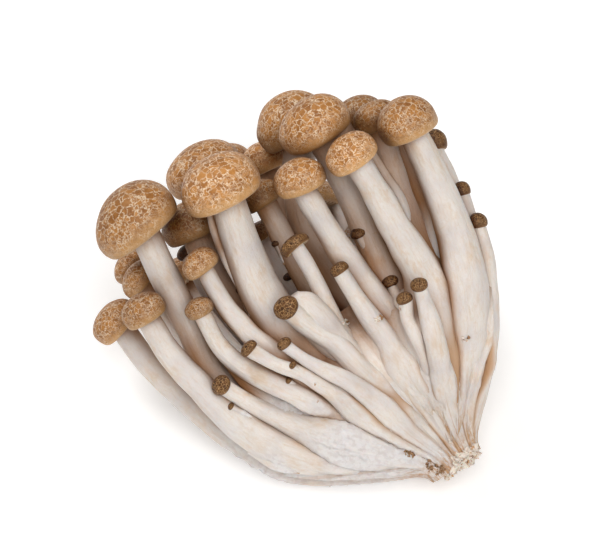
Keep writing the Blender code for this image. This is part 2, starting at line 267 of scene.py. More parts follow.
class Graph:
    """A material's node tree, built by short calls."""

    def __init__(self, name, roughness, **sockets):
        self.material = bpy.data.materials.new(name)
        self.material.use_nodes = True
        self.tree = self.material.node_tree
        self.shader = self.tree.nodes["Principled BSDF"]
        self.shader.inputs["Roughness"].default_value = roughness
        for socket, value in sockets.items():
            self.shader.inputs[socket.replace("_", " ")].default_value = value

    def node(self, kind, links=None, **settings):
        made = self.tree.nodes.new("ShaderNode" + kind)
        for key, value in settings.items():
            setattr(made, key, value)
        for socket, value in (links or {}).items():
            self.feed(made.inputs[socket], value)
        return made

    def feed(self, socket, value):
        if isinstance(value, bpy.types.NodeSocket):
            self.tree.links.new(value, socket)
        else:
            socket.default_value = value

    def read(self, name, output="Fac"):
        return self.node("Attribute", attribute_name=name).outputs[output]

    def maths(self, operation, *values):
        return self.node("Math", dict(enumerate(values)), operation=operation).outputs[0]

    def times(self, a, b):
        return self.maths("MULTIPLY", a, b)

    def vectors(self, operation, *values):
        made = self.node("VectorMath", dict(enumerate(values)), operation=operation)
        return made.outputs[0]

    def remap(self, value, low, high, to_low=0.0, to_high=1.0):
        return self.node("MapRange", {0: value, 1: low, 2: high, 3: to_low, 4: to_high},
                         interpolation_type="SMOOTHSTEP").outputs[0]

    def mix(self, amount, a, b, blend="MIX"):
        made = self.node("Mix", {0: amount, 6: a, 7: b}, data_type="RGBA", blend_type=blend)
        return made.outputs[2]

    def noise(self, where, scale, detail=3.0, roughness=0.55, output="Fac"):
        return self.node("TexNoise", {"Vector": where, "Scale": scale, "Detail": detail,
                                      "Roughness": roughness}).outputs[output]

    def bend(self, wander, size):
        """An offset that wanders by up to half this size each way, from a noise's colour."""
        made = self.vectors("SCALE", self.vectors("SUBTRACT", wander, (0.5, 0.5, 0.5)))
        made.node.inputs["Scale"].default_value = size
        return made

    def bump(self, height, distance, strength):
        made = self.node("Bump", {"Height": height, "Distance": distance, "Strength": strength})
        self.tree.links.new(made.outputs[0], self.shader.inputs["Normal"])

    def colour(self, value):
        self.feed(self.shader.inputs["Base Color"], value)


def rgb(red, green, blue):
    """A colour given as it looks on a screen, 0 to 255."""
    def linear(c):
        c = c / 255
        return c / 12.92 if c <= 0.04045 else ((c + 0.055) / 1.055) ** 2.4
    return (linear(red), linear(green), linear(blue), 1.0)


# How wide the patches of cap skin are, and the net round them, on the crown, side and edge.
ON_CROWN, ON_SIDE, AT_EDGE = (1.75, 0.11), (0.95, 0.17), (0.5, 0.24)


def skin_material(name, brown, deep, web, margin, painted_shade_colour):
    """Brown cap skin, cracked into patches by a pale net that gets finer towards the edge, with
    painted shade where the cap lies deep among its neighbours.
    """
    g = Graph(name, 0.5, Specular_IOR_Level=0.3)
    where, rise = g.read("skin", "Vector"), g.read("rise")
    bend = g.bend(g.noise(where, 0.8, 3.0, 0.5, output="Color"), 1.5)
    bent = g.vectors("ADD", where, bend)
    grit = g.remap(g.noise(where, 2.6, 2.0, 0.6), 0.3, 0.7, -0.06, 0.06)

    def cells(size, feature, output):
        return g.node("TexVoronoi", {"Vector": bent, "Scale": 1 / size, "Randomness": 1.0},
                      feature=feature).outputs[output]

    def net(size, wide):
        edges = cells(size, "DISTANCE_TO_EDGE", "Distance")
        return g.remap(g.maths("ADD", edges, grit), 0.0, wide, 1.0, 0.0)

    wavy = g.remap(g.noise(where, 0.45, 2.0), 0.32, 0.68, -0.26, 0.26)
    height = g.maths("ADD", rise, wavy)
    crown, edge = g.remap(height, 0.44, 0.66), g.remap(height, 0.2, 0.4, 1.0, 0.0)
    lines = g.mix(crown, net(*ON_SIDE), net(*ON_CROWN))
    lines = g.mix(edge, lines, net(*AT_EDGE))
    patchy = g.remap(g.noise(where, 0.6, 3.0), 0.32, 0.58, 0.35, 1.0)
    shown = g.remap(height, 0.02, 0.5, 0.3, 1.0)
    lines = g.times(g.times(lines, patchy), shown)

    mottle = g.remap(g.noise(where, 0.8, 4.0, 0.65), 0.32, 0.68)
    patch = g.mix(crown, cells(ON_SIDE[0], "F1", "Color"), cells(ON_CROWN[0], "F1", "Color"))
    patch = g.remap(patch, 0.2, 0.8)
    lightness = g.maths("MULTIPLY_ADD", mottle, 0.45, g.times(patch, 0.6))
    ground = g.mix(lightness, deep, brown)
    ground = g.mix(g.remap(rise, 0.0, 0.4, 0.8, 0.0), ground, margin)
    painted = g.mix(lines, ground, web)
    painted = g.mix(g.remap(g.read("rim"), 0.2, 1.0, 0.0, 0.7), painted, web)
    # painted light and shade: the skin is lightened or darkened by its cap's painted light value
    painted = g.mix(1.0, painted, g.read("tone"), "MULTIPLY")
    # painted shade: the skin darkens towards its painted shade colour where the shade attribute
    # says it lies deep among its neighbours
    g.colour(g.mix(g.read("shade"), painted, g.mix(1.0, painted, painted_shade_colour, "MULTIPLY")))
    pits = g.maths("ADD", g.times(lines, -0.6), g.noise(where, 3.0, 4.0))
    g.bump(pits, 0.00014, 0.5)
    return g.material


def gill_material(name, pale, dark):
    """Cream gills, darker between the blades."""
    g = Graph(name, 0.6, Subsurface_Weight=0.15, Subsurface_Scale=0.002)
    blade = g.remap(g.read("blade"), 0.0, 1.0)
    patch = g.remap(g.noise(g.read("skin", "Vector"), 0.6), 0.3, 0.7, 0.8, 1.0)
    # painted shade: darker in the grooves between the gill blades
    g.colour(g.mix(g.times(blade, patch), dark, pale))
    return g.material


def flesh_material(name, cream, tan, grey, ochre, snow, painted_shade_colour):
    """Cream stem flesh: fine long fibres, tan stains, ochre painted shade where stems press
    together.
    """
    g = Graph(name, 0.6, Subsurface_Weight=0.2, Subsurface_Scale=0.002,
              Subsurface_Radius=(1.0, 0.62, 0.4), Specular_IOR_Level=0.3)
    straight = g.read("straight", "Vector")

    def stretched(length):
        return g.vectors("MULTIPLY", straight, (1.0, 1.0, length))

    bend = g.bend(g.noise(stretched(0.5), 0.5, 2.0, output="Color"), 1.6)
    curly = g.vectors("ADD", stretched(0.14), bend)
    long_fibres = g.noise(curly, 1.5, 5.0, 0.7)
    fine_fibres = g.noise(g.vectors("ADD", stretched(0.3), bend), 4.0, 4.0, 0.65)
    stains = g.noise(stretched(0.5), 0.24, 5.0, 0.62)
    rings = g.noise(g.vectors("MULTIPLY", straight, (0.3, 0.3, 1.0)), 0.9, 4.0, 0.6)
    base = g.mix(g.remap(long_fibres, 0.45, 0.68, 0.0, 0.36), cream, tan)
    base = g.mix(g.remap(stains, 0.5, 0.7, 0.0, 0.65), base, tan)
    base = g.mix(g.remap(g.noise(straight, 0.12, 2.0), 0.4, 0.7, 0.0, 0.6), base, grey)
    base = g.mix(g.remap(fine_fibres, 0.5, 0.72, 0.0, 0.36), base, tan)
    base = g.mix(g.remap(rings, 0.62, 0.72, 0.0, 0.25), base, tan)
    tufts = g.mix(g.remap(g.noise(straight, 0.7, 3.0, 0.6), 0.46, 0.6, 0.0, 0.85), snow, grey)
    base = g.mix(g.times(g.read("fuzz"), 0.8), base, tufts)
    # painted shade: ochre where stems press on each other and in the valleys of their folds
    base = g.mix(g.remap(g.read("crease_shade"), 0.1, 1.0, 0.0, 0.85), base, ochre)
    base = g.mix(g.times(g.read("root"), g.remap(long_fibres, 0.4, 0.6, 0.1, 0.9)),
                 base, ochre)
    # painted shade: the flesh darkens towards its painted shade colour where the shade attribute
    # says it lies deep among its neighbours
    g.colour(g.mix(g.read("shade"), base, g.mix(1.0, base, painted_shade_colour, "MULTIPLY")))
    height = g.maths("ADD", g.times(long_fibres, 0.6),
                     g.times(fine_fibres, 0.4))
    g.bump(height, 0.0006, 0.85)
    return g.material


def crumb_material(name, pale, ochre, dark, browning):
    """The torn, crumbly tissue at the cut foot, specked with rust and brown."""
    g = Graph(name, 0.8, Subsurface_Weight=0.1, Subsurface_Scale=0.001)
    straight = g.read("straight", "Vector")
    spots = g.noise(straight, 1.1, 4.0, 0.7)
    base = g.mix(g.remap(spots, 0.6 - browning, 0.74 - browning), pale, ochre)
    base = g.mix(g.remap(g.noise(straight, 2.0, 3.0, 0.6), 0.66 - browning, 0.74 - browning),
                 base, dark)
    g.colour(base)
    g.bump(g.noise(straight, 4.0, 4.0, 0.7), 0.0003, 0.9)
    return g.material


# The last colour of each skin and of the stem flesh is its painted shade colour.
SKIN = skin_material("cap_skin_brown", rgb(190, 132, 70), rgb(136, 84, 36), rgb(226, 200, 170),
                     rgb(204, 157, 100), rgb(156, 130, 80))
PIN_SKIN = skin_material("pin_skin_brown", rgb(98, 60, 24), rgb(56, 33, 13), rgb(180, 138, 90),
                         rgb(92, 58, 29), rgb(160, 128, 84))
GILLS = gill_material("gill_cream", rgb(222, 200, 172), rgb(160, 126, 92))
FLESH = flesh_material("stem_flesh_cream", rgb(232, 224, 217), rgb(216, 188, 158),
                       rgb(216, 209, 208), rgb(186, 138, 88), rgb(230, 227, 227),
                       rgb(166, 122, 80))
CRUMB = crumb_material("foot_crumb", rgb(240, 228, 216), rgb(206, 158, 112), rgb(126, 84, 48),
                       0.08)
# browned crumbs: partly real browning, partly painted shade in the crevices of the foot
RUST_AND_SHADE = crumb_material("foot_rust_and_shade", rgb(172, 134, 98), rgb(128, 90, 56), rgb(72, 50, 32), 0.1)


# ---------- stems: lines and thickness

# Steps along a stem and turns round it, while the stems press on each other and in the mesh.
LINE_STEPS = 48
LINE_TURNS = 28
LINE_SHARE = np.linspace(0, 1, LINE_STEPS)[:, None]
FINE_STEPS = 110
FINE_TURNS = 72
PIN_STEPS, PIN_TURNS, PIN_SHADE = 80, 48, 0.35
STEM_SEED, CAP_SEED, PIN_STEM_SEED, PIN_CAP_SEED = 100, 200, 300, 400

# The cut face: its middle on the fan, and how far the stems spread over it.
CUT_MIDDLE = np.array([0.2, -2.6, 0.6])
CUT_SPREAD = (0.40, 0.34)
CUT_THICKNESS = 0.42
NECK_IN_CAP = 0.14

# How far a stem may grow to meet its neighbours, as a share of its radius: everywhere, and more
# towards the foot. None is squeezed below THINNEST.
UPPER_SWELL = 0.04
LOWER_SWELL = 1.5
THINNEST = 0.55
SKIN_GAP = 0.03

# The heights of a stem's fibres, waves, folds and woolly knobs, in millimetres.
FIBRES, WOBBLE, FOLDS, KNOBS = 0.04, 0.08, 0.11, 0.42

# The stems at the bottom of the fan are woolly, from the first of these angles to the second.
FUZZ_FROM, FUZZ_FULL = math.radians(150), math.radians(166)


class Stem:
    """A stem's line from the cut foot to inside its cap, and how thick it may grow."""

    def __init__(self, line, radii, facing, seed, into_cap):
        self.facing, self.seed = facing, seed
        start, way = line[0], unit(line[0] - line[1])
        reach = self.into_foot(start, way)
        thin = radii[0] * np.linspace(CUT_THICKNESS, 1, len(reach) + 1)[:-1]
        tip = line[-1] + facing * into_cap
        line = np.vstack([reach, line, tip])
        radii = np.concatenate([np.maximum(thin, 0.9), radii, [radii[-1]]])
        self.line, self.radii, _ = resample(line, radii, LINE_STEPS)

    @staticmethod
    def into_foot(start, way):
        """Points from the cut face up to just below the stem's root in the CAD."""
        axis = np.array([math.cos(FOOT_AXIS), math.sin(FOOT_AXIS), 0.0])
        side = np.array([axis[1], -axis[0], 0.0])
        away = in_fan(start) - CUT_MIDDLE
        end = in_row(CUT_MIDDLE + side * (away @ side) * CUT_SPREAD[0]
                     + np.array([0, 0, 1.0]) * away[2] * CUT_SPREAD[1])
        stretch = np.linalg.norm(start - end)
        down = (-axis) @ FAN
        t = np.linspace(0, 1, 7)[:-1, None]
        return ((2 * t**3 - 3 * t**2 + 1) * end + (t**3 - 2 * t**2 + t) * (-down) * stretch * 0.9
                + (-2 * t**3 + 3 * t**2) * start + (t**3 - t**2) * (-way) * stretch * 0.9)


def stem_from_rings(rings, seed, cap):
    middles, radii = zip(*(middle_and_radius(ring) for ring in rings))
    return Stem(np.array(middles), np.array(radii), cap.facing, seed, NECK_IN_CAP * cap.height)


# Painted light and shade: how much each cap's skin is lightened or darkened, standing in for how
# light falls on it.
CAP_PAINTED_LIGHT = {
    "cap_01": 0.86, "cap_02": 1.1, "cap_05": 0.82, "cap_06": 0.92, "cap_07": 0.78, "cap_08": 0.9,
    "cap_09": 0.86, "cap_10": 0.72, "cap_11": 1.3, "cap_12": 0.8, "cap_16": 1.14, "cap_17": 0.76,
    "cap_18": 0.8, "cap_19": 0.92,
}


class Cap:
    """A cap's place: the middle of its rim, the way it faces, its radius and its height."""

    def __init__(self, name, rings, seed):
        middles, radii = zip(*(middle_and_radius(ring) for ring in rings))
        self.seed, self.tone = seed, CAP_PAINTED_LIGHT.get(name, 1.0)
        self.facing = unit(middles[-1] - middles[0])
        lowest = min(range(len(rings)), key=lambda k: middles[k] @ self.facing)
        self.rim = middles[lowest]
        self.radius = max(radii)
        self.height = (middles[-1] - self.rim) @ self.facing

    def middle(self):
        return self.rim + self.facing * self.height * 0.4


stem_nodes = sorted(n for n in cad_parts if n.startswith("stem_"))
cap_nodes = sorted(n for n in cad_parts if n.startswith("cap_"))
pin_nodes = sorted(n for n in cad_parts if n.startswith("pin_"))

stems, caps = {}, {}
for k, node in enumerate(cap_nodes):
    caps[node] = Cap(node, corner_rings(node, CAP_CORNERS), CAP_SEED + k)
for k, node in enumerate(stem_nodes):
    cap = caps[f"cap_{node[-2:]}"]
    stems[node] = stem_from_rings(corner_rings(node, STEM_CORNERS), STEM_SEED + k, cap)
for k, node in enumerate(pin_nodes):
    rings = corner_rings(node, STEM_CORNERS)
    caps[node] = Cap(node, rings[PIN_STEM_RINGS:], PIN_CAP_SEED + k)
    stems[node] = stem_from_rings(rings[:PIN_STEM_RINGS], PIN_STEM_SEED + k, caps[node])

# ---------- stems pressing on each other


def pressed_radii(stem, others, cap_spots):
    """How far the stem's skin can stand from its line before it meets a neighbour's."""
    outward = spokes(stem.line, stem.facing, full_turn(LINE_TURNS))
    spots = np.vstack([o.line for o in others] + [cap_spots[:, :3]])
    wide = np.concatenate([o.radii for o in others] + [cap_spots[:, 3]])
    limit = np.full((LINE_STEPS, LINE_TURNS), np.inf)
    for k in range(LINE_STEPS):
        gap = stem.line[k] - spots
        near = np.linalg.norm(gap, axis=1) < 2 * (stem.radii[k] + wide)
        if not near.any():
            continue
        gap, ratio = gap[near], stem.radii[k] / wide[near]
        a = 1 - ratio**2
        a = np.where(np.abs(a) < 1e-4, 1e-4, a)
        b = -2 * ratio**2 * (outward[k] @ gap.T)
        c = -(ratio**2) * (gap**2).sum(1)
        inside = b**2 - 4 * a * c
        root = (-b + np.sqrt(np.maximum(inside, 0))) / (2 * a)
        root = np.where((inside < 0) | (root <= 0), np.inf, root)
        limit[k] = root.min(1)
    return limit


def round_and_along(field, turns_blur, steps_blur):
    """Smooths a field over the turns, which wrap, and along the steps, which don't."""
    for _ in range(turns_blur):
        field = 0.5 * field + 0.25 * (np.roll(field, 1, 1) + np.roll(field, -1, 1))
    for _ in range(steps_blur):
        padded = np.vstack([field[:1], field, field[-1:]])
        field = 0.5 * field + 0.25 * (padded[:-2] + padded[2:])
    return field


def finer(field, steps, turns):
    """The same field on a finer grid of steps and turns."""
    old_steps, old_turns = field.shape
    at = np.linspace(0, old_steps - 1, steps)
    low = np.minimum(at.astype(int), old_steps - 2)
    part = (at - low)[:, None]
    field = field[low] * (1 - part) + field[low + 1] * part
    at = np.arange(turns) * old_turns / turns
    low = at.astype(int)
    part = at - low
    return field[:, low] * (1 - part) + field[:, (low + 1) % old_turns] * part


def stem_surface(stem, others, cap_spots, steps, turns, in_shade):
    """Rows of points over the stem's skin, with the values its flesh is coloured by."""
    limit = pressed_radii(stem, others, cap_spots)
    rng = np.random.default_rng(stem.seed)
    angle = full_turn(LINE_TURNS)
    share = LINE_SHARE
    lobes = np.zeros((LINE_STEPS, LINE_TURNS))
    for waves, size in ((2, 0.06), (3, 0.035), (5, 0.02)):
        drift = rng.uniform(-2.0, 2.0) * share + rng.uniform(0, 2 * math.pi)
        lobes += size * rng.uniform(0.5, 1.2) * np.sin(waves * angle + drift)
    lobes *= smooth_step(1.0, 0.75, share) * 0.75 + 0.25
    thick = stem.radii[:, None]
    swell = UPPER_SWELL + LOWER_SWELL * smooth_step(0.66, 0.36, share)
    nearby = smooth_step(swell + 1.7, swell + 1.0, limit / thick)
    wished = thick * (1 + lobes) * (1 + swell * nearby)
    thinnest = thick * THINNEST
    allowed = np.clip(wished, thinnest, np.maximum(limit - SKIN_GAP, thinnest))
    # how hard the skin presses on a neighbour, painted as ochre shade along the crease
    pressed = np.clip((wished - allowed) / (0.2 * wished), 0, 1) * smooth_step(1.0, 0.8, share)
    return dressed(stem, round_and_along(allowed, 2, 2), round_and_along(pressed, 1, 2),
                   steps, turns, in_shade)


def drifting_waves(rng, angle, steps, counts, twist, calm):
    """Waves round a stem that wander as they run along it."""
    total = np.zeros((steps, len(angle)))
    for waves in counts:
        drift = np.cumsum(rng.normal(0, 0.05, steps))[:, None]
        total += np.sin(waves * angle + rng.uniform(0, 6.28) + drift * waves * twist) / calm
    return total


def dressed(stem, skin, crease_shade, steps, turns, in_shade):
    """Rows of points over a stem, given how far its skin stands off, and its flesh's values."""
    rng = np.random.default_rng(stem.seed + 1000)
    line, _, length = resample(stem.line, stem.radii, steps)
    skin, crease_shade = finer(skin, steps, turns), finer(crease_shade, steps, turns)
    angle = full_turn(turns)
    along = np.linspace(0, length, steps)[:, None]
    share = np.linspace(0, 1, steps)[:, None]
    fibres = drifting_waves(rng, angle, steps, range(7, 30, 2), 0.25, math.sqrt(12))
    folds = drifting_waves(rng, angle, steps, (5, 7, 9), 0.3, 2)
    straight = np.stack([skin * np.cos(angle), skin * np.sin(angle),
                         np.broadcast_to(along, skin.shape)], axis=-1)
    wobble, knobs = Waves(stem.seed + 7, 9.0), Waves(stem.seed + 9, 1.9, 20)
    fuzzy = smooth_step(0.0, 0.9, Waves(stem.seed + 8, 14.0, 6)(straight))
    across, up = (in_fan(line) - in_fan(HEEL))[:, :2].T
    round_fan = np.arctan2(up + 2.0, across) % (2 * math.pi)
    lowest = smooth_step(FUZZ_FROM, FUZZ_FULL, round_fan)[:, None]
    lowest = lowest * smooth_step(0.7, 0.45, share)
    woolly = lowest * smooth_step(-0.9, 0.3, Waves(stem.seed + 6, 16.0, 6)(straight))
    size = np.minimum(1.0, skin / 3.0)
    rootward = smooth_step(0.55, 0.2, share)
    skin = skin + size * (FIBRES * fibres + WOBBLE * wobble(straight))
    fuzz = np.maximum(0.4 * rootward * fuzzy, woolly)
    skin = skin + rootward * size * FOLDS * np.minimum(folds, 0.4)
    outward = spokes(line, stem.facing, angle)
    on_top = smooth_step(0.15, 0.6, outward @ FRONT)
    skin = skin + size * KNOBS * fuzz * np.abs(knobs(straight)) * (0.25 + 0.75 * on_top)
    # painted shade in the valleys of the folds near the foot
    folded = rootward * smooth_step(0.35, 1.1, -folds) * 0.6
    crease_shade = np.maximum(crease_shade, folded) * (1 - 0.6 * lowest)
    rows = line[:, None] + skin[..., None] * outward
    # painted shade: darker where the skin lies deep among its neighbours, none near the foot and
    # less on the woolly bottom stems
    free = finer(round_and_along(openness(rows[::4, ::6]), 1, 1), steps, turns)
    shade = smooth_step(0.8, 0.2, free) * smooth_step(0.25, 0.62, share)
    shade = shade * in_shade * (1 - 0.85 * lowest)
    straight = straight + rng.uniform(-400, 400, 3)
    root = np.broadcast_to(smooth_step(0.16, 0.03, share), skin.shape)
    return rows, dict(straight=straight, crease_shade=crease_shade, shade=shade, root=root, fuzz=fuzz)


def solids_tree():
    """All the CAD solids as one tree to cast rays at."""
    spots, faces = [], []
    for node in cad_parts.values():
        base = len(spots)
        spots += [v.co / MM for v in node.data.vertices]
        faces += [[base + k for k in face.vertices] for face in node.data.polygons]
    return BVHTree.FromPolygons(spots, faces)


SOLIDS = solids_tree()

# The rays that feel how open a point lies. One that is stopped counts for MET_RAY at most.
RAYS = 28
RAY_REACH = 32.0
RAY_START = 0.45
RAY_LEAN = 1.05
MET_RAY = 0.4


def openness(rows):
    """How open each point of a grid of points lies, 0 deep among its neighbours and 1 free."""
    along = np.gradient(rows, axis=0)
    around = np.roll(rows, -1, 1) - np.roll(rows, 1, 1)
    normals = unit(np.cross(around, along) + 1e-9)
    outward = rows - rows.mean(1, keepdims=True)
    normals *= np.where((normals * outward).sum(-1).mean() < 0, -1, 1)
    rng = np.random.default_rng(5)
    rays = unit(rng.normal(size=(RAYS, 3)))
    free = np.zeros(rows.shape[:2])
    for i, j in np.ndindex(*free.shape):
        normal = normals[i, j]
        start = Vector(rows[i, j] + normal * RAY_START)
        ways = unit(rays + normal * RAY_LEAN)
        for way in ways:
            gap = SOLIDS.ray_cast(start, Vector(way), RAY_REACH)[3]
            free[i, j] += 1 if gap is None else MET_RAY * gap / RAY_REACH
    return free / RAYS


cap_spots = np.array([[*cap.middle(), cap.radius * 0.98] for cap in caps.values()])
own_cap = {f"stem_{node[-2:]}": k for k, node in enumerate(cap_nodes)}
own_cap.update({node: len(cap_nodes) + k for k, node in enumerate(pin_nodes)})


def build_stem(name, steps, turns, in_shade=1.0):
    """A CAD stem's surface, pressed on by all the others and by every cap but its own."""
    stem = stems[name]
    others = [o for o in stems.values() if o is not stem]
    spots = np.delete(cap_spots, own_cap[name], axis=0)
    return stem_surface(stem, others, spots, steps, turns, in_shade)


# ---------- caps


# A cap's profile, as shares of its radius and height: where its edge starts to roll, its widest
# radius, how high that lies, how high the gills arch and how deep they are cut.
EDGE, WIDEST, WAIST, ARCH, GILL_DEPTH = 0.78, 1.02, 0.34, 0.14, 0.022


def cap_surface(cap, neck, around, over_steps, under_steps, gills):
    """Rows of points from the middle of the gills out to the rolled edge and up to the crown."""
    radius, height = cap.radius, cap.height
    rng = np.random.default_rng(cap.seed)
    under_r = np.linspace(neck * 0.5, EDGE * radius, under_steps)
    under_z = ARCH * radius * (1 - (under_r / (EDGE * radius)) ** 2)
    roll = np.linspace(0, math.pi / 2, max(6, over_steps // 3))[1:]
    roll_r = radius * (EDGE + (WIDEST - EDGE) * np.sin(roll) ** 0.9)
    roll_z = WAIST * height * (1 - np.cos(roll)) - 0.02 * height * np.sin(2 * roll)
    dome = np.linspace(0, math.pi / 2, over_steps)[1:-1]
    dome_r = WIDEST * radius * np.cos(dome) ** 0.97
    dome_z = WAIST * height + (1 - WAIST) * height * np.sin(dome)
    ring_r = np.concatenate([under_r, roll_r, dome_r])
    ring_z = np.concatenate([under_z, roll_z, dome_z])
    side = unit(FRONT - cap.facing * (FRONT @ cap.facing))
    over = np.cross(cap.facing, side)
    angle = full_turn(around)
    local = np.stack([ring_r[:, None] * np.cos(angle), ring_r[:, None] * np.sin(angle),
                      np.broadcast_to(ring_z[:, None], (len(ring_r), around))], axis=-1)
    # the dome is a little lopsided and its edge waves
    broad = Waves(cap.seed, 2.6 * radius, 8)
    small = Waves(cap.seed + 50, 0.9 * radius, 12)
    swell = 1 + 0.028 * broad(local) + 0.009 * small(local)
    squeeze = np.array([1 + rng.uniform(-0.03, 0.03), 1 + rng.uniform(-0.03, 0.03), 1.0])
    shaped = local * squeeze
    shaped[..., :2] *= swell[..., None]
    shaped[..., 2] *= (1 + 0.5 * (swell - 1))
    cut = np.cos(gills * angle)
    out = np.linspace(0, 1, under_steps)
    in_gills = np.zeros(len(ring_r))
    in_gills[:under_steps] = smooth_step(0.0, 0.25, out) * smooth_step(1.0, 0.9, out)
    shaped[..., 2] += in_gills[:, None] * cut * GILL_DEPTH * radius
    blade = np.broadcast_to(0.5 - 0.5 * cut, shaped.shape[:2])
    rise = np.zeros(len(ring_r))
    rise[under_steps:] = np.clip(ring_z[under_steps:] / height, 0, 1)
    rise = np.broadcast_to(rise[:, None], blade.shape)
    rows = (cap.rim + shaped[..., 0:1] * side + shaped[..., 1:2] * over
            + shaped[..., 2:3] * cap.facing)
    skin = local * (10 / radius) ** 0.6 + rng.uniform(-300, 300, 3)
    finish = np.where(np.arange(len(ring_r)) < under_steps, 1, 0)
    coarse_rows = np.round(np.linspace(0, len(rows) - 1, 10)).astype(int)
    # painted shade: the skin darkens where it lies deep among its neighbours
    free = round_and_along(openness(rows[coarse_rows][:, ::around // 16]), 1, 0)
    free = np.array([np.interp(np.arange(len(rows)), coarse_rows, column) for column in free.T]).T
    shade = smooth_step(0.85, 0.25, finer(free, len(rows), around))
    rim = np.zeros(len(ring_r))
    rim[under_steps - 1:under_steps + 3] = (1.0, 1.0, 0.6, 0.2)
    rim = np.broadcast_to(rim[:, None], blade.shape)
    tone = np.full(blade.shape, cap.tone)
    return rows, dict(skin=skin, rise=rise, blade=blade, rim=rim, shade=shade, tone=tone), finish


# A cap wider than this radius has a finer mesh, and on a pin the skin of a grown cap.
LARGE_CAP = 4.5

surfaces = []
for node in cap_nodes:
    cap = caps[node]
    neck = stems[f"stem_{node[-2:]}"].radii[-1]
    around = 144 if cap.radius > LARGE_CAP else 96
    rows, values, finish = cap_surface(cap, neck, around, over_steps=26, under_steps=8,
                                       gills=around // 4)
    surfaces.append(rows)
    piece = grid_mesh(f"{node}_skin", rows, [SKIN, GILLS], values, finish)
    settle(piece, "cap_skin", node)

for node in stem_nodes:
    rows, values = build_stem(node, FINE_STEPS, FINE_TURNS)
    surfaces.append(rows)
    piece = grid_mesh(f"{node}_fibrous", rows, [FLESH], values)
    settle(piece, "stem_flesh", node)

for node in pin_nodes:
    rows, values = build_stem(node, PIN_STEPS, PIN_TURNS, PIN_SHADE)
    surfaces.append(rows)
    stem_piece = grid_mesh(f"{node}_stem", rows, [FLESH], values)
    cap = caps[node]
    rows, values, finish = cap_surface(cap, stems[node].radii[-1], around=64, over_steps=18,
                                       under_steps=5, gills=16)
    surfaces.append(rows)
    skin = SKIN if cap.radius > LARGE_CAP else PIN_SKIN
    cap_piece = grid_mesh(f"{node}_cap", rows, [skin, GILLS], values, finish)
    piece = joined(f"{node}_whole", [stem_piece, cap_piece])
    settle(piece, "pin_flesh", node)

# ---------- flesh grown together near the foot


def surface_tree():
    """Everything built so far as one tree to cast rays at."""
    spots, faces, base = [], [], 0
    for rows in surfaces:
        rows = rows[:, ::2]
        count, around, _ = rows.shape
        index = base + np.arange(count * around).reshape(count, around)
        a, b = index[:-1], index[1:]
        faces += np.stack([a, np.roll(a, -1, 1), np.roll(b, -1, 1), b], -1).reshape(-1, 4).tolist()
        spots += rows.reshape(-1, 3).tolist()
        base += count * around
    return BVHTree.FromPolygons(spots, faces)


SURFACE = surface_tree()


def depth_from(x, h, side):
    """Where the surface stands at a place on the fan, seen from its front (1) or its back (-1)."""
    start = in_row((x, h, 80.0 * side))
    spot = SURFACE.ray_cast(Vector(start), Vector(-FRONT * side), 160.0)[0]
    return math.nan if spot is None else in_fan(np.array(spot))[2]


def front_depth(x, h):
    """Where the front of the surface stands, or the fan's plane where there is none."""
    depth = depth_from(x, h, 1)
    return 0.0 if math.isnan(depth) else depth


# The stems grow together towards the foot: a web of flesh fills the valleys between them. It is
# measured in polar places on the fan, round the point where the stems' lines meet.
WEB_MIDDLE = (-1.0, -2.0)
WEB_FROM, WEB_TO = 5.0, 47.0
WEB_ROWS, WEB_ACROSS = 76, 300
WEB_CLOSES = 3.2
WEB_INSET = 1.8
BEHIND_A_GAP = 9.0
WEB_THICKNESS = ((10.0, 40.0), (18.0, 22.0), (28.0, 8.0), (WEB_TO, 2.0))
WEB_SIDES = (math.radians(70), math.radians(205))


def closed_over(depths, window):
    """The depths with every valley narrower than the window filled to its lower bank."""
    for pick in (np.max, np.min):
        padded = np.pad(depths, window, mode="edge")
        depths = pick([padded[k:k + len(depths)] for k in range(2 * window + 1)], axis=0)
    return depths


def on_arc(reach, angles):
    """Places on the fan, x and h, so far from the web's middle."""
    return np.stack([WEB_MIDDLE[0] + reach * np.cos(angles),
                     WEB_MIDDLE[1] + reach * np.sin(angles)], axis=-1)


def arc_depths(reach, angles, side):
    return np.array([depth_from(*place, side) for place in on_arc(reach, angles)])


def web_row(reach):
    """One arc of the web: its angles, its front and back depths and how deep each valley was."""
    angles = np.linspace(*WEB_SIDES, 2 * WEB_ACROSS)
    front = arc_depths(reach, angles, 1)
    deepest = -10 - 0.15 * reach
    met = angles[np.nan_to_num(front, nan=-99.0) > deepest]
    inset = WEB_INSET / reach
    angles = np.linspace(met[0] + inset, met[-1] - inset, WEB_ACROSS)
    front, back = arc_depths(reach, angles, 1), arc_depths(reach, angles, -1)
    met = np.nan_to_num(front, nan=-99.0) > deepest
    typical = np.interp(angles, angles[met], front[met])
    front = np.where(met, front, typical - BEHIND_A_GAP)
    back = np.where(met, back, typical)
    window = int(WEB_CLOSES / (reach * (angles[1] - angles[0])))
    over, under = closed_over(front, window), -closed_over(-back, window)
    return angles, over, under, over - front, back - under


